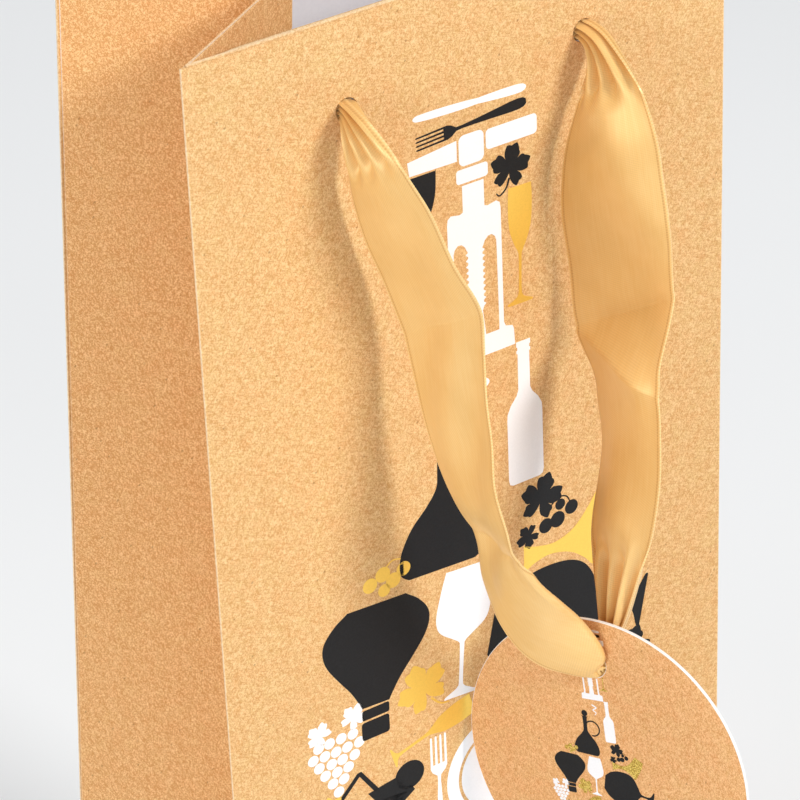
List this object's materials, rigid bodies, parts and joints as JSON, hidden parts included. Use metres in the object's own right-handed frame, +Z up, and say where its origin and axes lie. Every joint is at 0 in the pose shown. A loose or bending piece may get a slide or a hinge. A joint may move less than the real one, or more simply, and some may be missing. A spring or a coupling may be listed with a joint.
{
  "type": "wine gift bag",
  "caption": "Tall kraft paper gift bag for a wine bottle, with folded side gussets, satin ribbon handles and a round swing tag.",
  "frame": {"origin": "middle of the base, on the surface it stands on", "axes": "+Z up to the mouth, +X to the right seen from the front, front panel with the tag towards -Y"},
  "size_m": [0.127, 0.1553, 0.35],
  "materials": {
    "kraft_paper": "matte brown kraft",
    "white_card": "matte white",
    "grey_board": "matte brown board",
    "satin": "gold satin",
    "tag_card": "matte kraft face on white card"
  },
  "bodies": {
    "bag": {"front_panel": "kraft_paper", "front_lower_panel": "kraft_paper", "back_lower_panel": "kraft_paper", "gusset_base_left": "kraft_paper", "gusset_base_right": "kraft_paper", "corner_front_left": "kraft_paper", "corner_front_right": "kraft_paper", "corner_rear_left": "kraft_paper", "corner_rear_right": "kraft_paper", "bottom_flap_front": "kraft_paper", "bottom_flap_back": "kraft_paper", "bottom_flap_left": "kraft_paper", "bottom_flap_right": "kraft_paper", "bottom_board": "grey_board", "front_hem": "kraft_paper", "front_top_card": "white_card", "front_knot_left": "satin", "front_knot_right": "satin"},
    "back": {"back_panel": "kraft_paper", "back_hem": "kraft_paper", "back_top_card": "white_card", "side_seam_tab": "kraft_paper", "back_knot_left": "satin", "back_knot_right": "satin"},
    "gusset_fl": {"gusset_front_left": "kraft_paper", "gusset_hem_front_left": "kraft_paper"},
    "gusset_fr": {"gusset_front_right": "kraft_paper", "gusset_hem_front_right": "kraft_paper"},
    "gusset_rl": {"gusset_rear_left": "kraft_paper", "gusset_hem_rear_left": "kraft_paper"},
    "gusset_rr": {"gusset_rear_right": "kraft_paper", "gusset_hem_rear_right": "kraft_paper"},
    "front_handle": {"front_ribbon": "satin"},
    "back_handle": {"back_ribbon": "satin"},
    "tag": {"tag_card": "tag_card"}
  },
  "joints": [
    {"name": "mouth_close", "type": "hinge", "parent": "bag", "child": "back", "pos_m": [0, 0.039, 0.052], "axis": [1, 0, 0], "range_deg": [0, 3.1], "deforming": ["gusset_front_left", "gusset_front_right", "gusset_rear_left", "gusset_rear_right", "gusset_hem_front_left", "gusset_hem_front_right", "gusset_hem_rear_left", "gusset_hem_rear_right"]},
    {"name": "gusset_fl_fold", "type": "hinge", "parent": "bag", "child": "gusset_fl", "pos_m": [-0.0635, -0.039, 0.052], "axis": [0, -0.0553, -0.9985], "range_deg": [0, 11.8]},
    {"name": "gusset_fr_fold", "type": "hinge", "parent": "bag", "child": "gusset_fr", "pos_m": [0.0635, -0.039, 0.052], "axis": [0, 0.0553, 0.9985], "range_deg": [0, 11.8]},
    {"name": "gusset_rl_fold", "type": "hinge", "parent": "back", "child": "gusset_rl", "pos_m": [-0.0635, 0.039, 0.052], "axis": [0, -0.0553, 0.9985], "range_deg": [0, 11.8]},
    {"name": "gusset_rr_fold", "type": "hinge", "parent": "back", "child": "gusset_rr", "pos_m": [0.0635, 0.039, 0.052], "axis": [0, 0.0553, -0.9985], "range_deg": [0, 11.8]},
    {"name": "front_handle_lift", "type": "hinge", "parent": "bag", "child": "front_handle", "pos_m": [0, -0.02355, 0.33103], "axis": [-1, 0, 0], "range_deg": [0, 155], "deforming": ["front_ribbon"]},
    {"name": "back_handle_lift", "type": "hinge", "parent": "back", "child": "back_handle", "pos_m": [0, 0.02355, 0.33103], "axis": [1, 0, 0], "range_deg": [0, 155], "deforming": ["back_ribbon"]},
    {"name": "tag_swing", "type": "hinge", "parent": "front_handle", "child": "tag", "pos_m": [0.0065, -0.05992, 0.20785], "axis": [-1, 0, 0], "range_deg": [-2, 160]}
  ],
  "couplings": [
    {"joint": "gusset_fl_fold", "follows": "mouth_close", "ratio": 3.6},
    {"joint": "gusset_fr_fold", "follows": "mouth_close", "ratio": 3.6},
    {"joint": "gusset_rl_fold", "follows": "mouth_close", "ratio": 3.6},
    {"joint": "gusset_rr_fold", "follows": "mouth_close", "ratio": 3.6}
  ]
}
